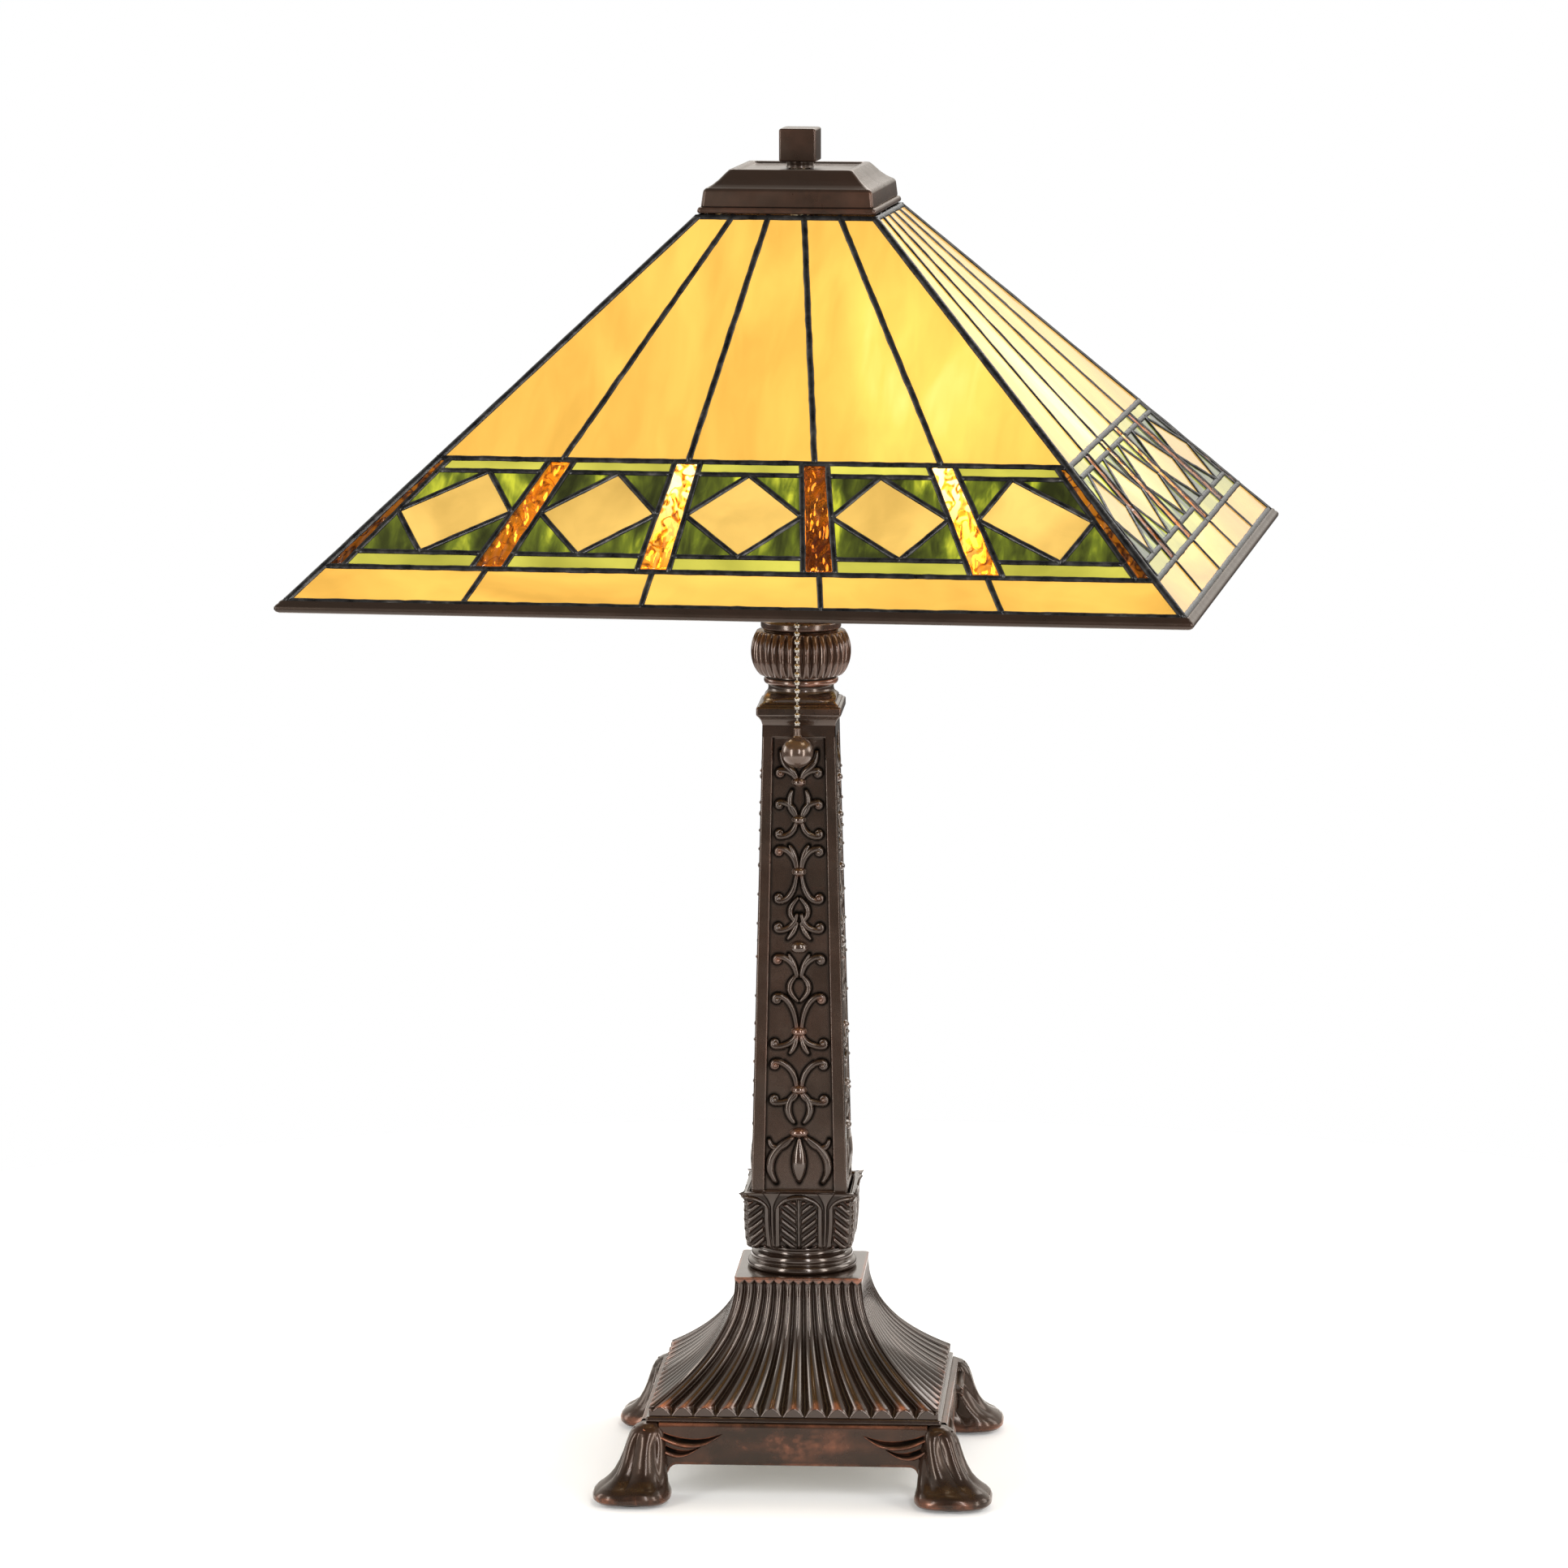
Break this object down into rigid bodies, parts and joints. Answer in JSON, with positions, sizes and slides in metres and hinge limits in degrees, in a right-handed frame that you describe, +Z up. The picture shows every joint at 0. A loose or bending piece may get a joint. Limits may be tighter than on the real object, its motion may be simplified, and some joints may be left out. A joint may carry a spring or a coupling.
{
  "type": "stained glass table lamp",
  "caption": "Table lamp with a square pyramid shade of leaded glass on a cast square column, with a footed fluted base, bead pull chain, stepped cap and block finial.",
  "frame": {"origin": "on the table, under the centre of the base", "axes": "+Z up, -Y towards the front of the base, +X to its right"},
  "size_m": [0.4698, 0.4698, 0.6692],
  "materials": {
    "bronze_casting": "antique bronze patina, glossy, copper-rubbed on the edges",
    "bronze_sheet": "antique bronze patina, satin",
    "bronze_brass": "dark bronze plating, satin",
    "bronze_ball": "antique bronze, polished",
    "plated_steel": "yellow zinc plating",
    "ballast_iron": "black lacquer, rough",
    "black_felt": "pressed felt",
    "bushing_plastic": "moulded, matt",
    "liner_fibre": "pressed fibre board",
    "bulb_shell": "rolled thread, satin",
    "frosted_glass": "frosted, lit",
    "nickel_chain": "nickel plating, polished",
    "patina_solder": "black patina on solder beads",
    "honey_glass": "opalescent, streaky honey and cream",
    "cream_glass": "opalescent cream",
    "lime_glass": "opalescent yellow-green",
    "green_glass": "streaky deep green",
    "amber_glass": "rippled clear amber, glossy"
  },
  "bodies": {
    "base": {"ballast_weight": "ballast_iron", "base_plate": "plated_steel", "chain_guide": "bronze_brass", "cluster_body": "bronze_brass", "column_capital": "bronze_casting", "column_shaft": "bronze_casting", "cord_bushing": "bushing_plastic", "felt_pads": "black_felt", "fluted_dome": "bronze_casting", "gadrooned_knop": "bronze_casting", "knop_cup": "bronze_casting", "lamp_pipe": "plated_steel", "leaf_collar": "bronze_casting", "neck_ring": "bronze_casting", "pipe_nut": "plated_steel", "pipe_washer": "plated_steel", "plinth_frame": "bronze_casting", "riser_locknut": "plated_steel", "riser_nut": "plated_steel", "riser_rod": "plated_steel", "socket_liner_left": "liner_fibre", "socket_liner_right": "liner_fibre", "socket_shell_left": "bronze_brass", "socket_shell_right": "bronze_brass", "stepped_ring": "bronze_casting"},
    "shade": {"amber_bars": "amber_glass", "border_glass_back": "honey_glass", "border_glass_front": "honey_glass", "border_glass_left": "honey_glass", "border_glass_right": "honey_glass", "diamonds": "cream_glass", "field_glass_back": "honey_glass", "field_glass_front": "honey_glass", "field_glass_left": "honey_glass", "field_glass_right": "honey_glass", "green_glass_back": "green_glass", "green_glass_front": "green_glass", "green_glass_left": "green_glass", "green_glass_right": "green_glass", "lime_strips": "lime_glass", "rim_channel": "bronze_sheet", "shade_spider": "bronze_brass", "solder_lines_back": "patina_solder", "solder_lines_front": "patina_solder", "solder_lines_left": "patina_solder", "solder_lines_right": "patina_solder", "vase_cap": "bronze_sheet"},
    "finial": {"finial": "bronze_sheet"},
    "pull": {"pull_chain": "nickel_chain", "pull_ball": "bronze_ball"},
    "bulb_left": {"bulb_base_left": "bulb_shell", "bulb_glass_left": "frosted_glass"},
    "bulb_right": {"bulb_base_right": "bulb_shell", "bulb_glass_right": "frosted_glass"}
  },
  "joints": [
    {"name": "shade_swivel", "type": "hinge", "parent": "base", "child": "shade", "pos_m": [0, 0, 0.6208], "axis": [0, 0, 1], "continuous": true},
    {"name": "finial_unscrew", "type": "hinge", "parent": "base", "child": "finial", "pos_m": [0, 0, 0.655], "axis": [0, 0, 1], "range_deg": [0, 1125]},
    {"name": "chain_pull", "type": "slide", "parent": "base", "child": "pull", "axis": [0, 0, -1], "range_m": [0, 0.008], "stiffness_N_per_m": 400, "springref_m": -0.004},
    {"name": "bulb_left_unscrew", "type": "hinge", "parent": "base", "child": "bulb_left", "pos_m": [-0.03165, 0.01827, 0.45927], "axis": [-0.7912, 0.4568, 0.4067], "range_deg": [0, 1170]},
    {"name": "bulb_right_unscrew", "type": "hinge", "parent": "base", "child": "bulb_right", "pos_m": [0.03165, -0.01827, 0.45927], "axis": [0.7912, -0.4568, 0.4067], "range_deg": [0, 1170]}
  ]
}
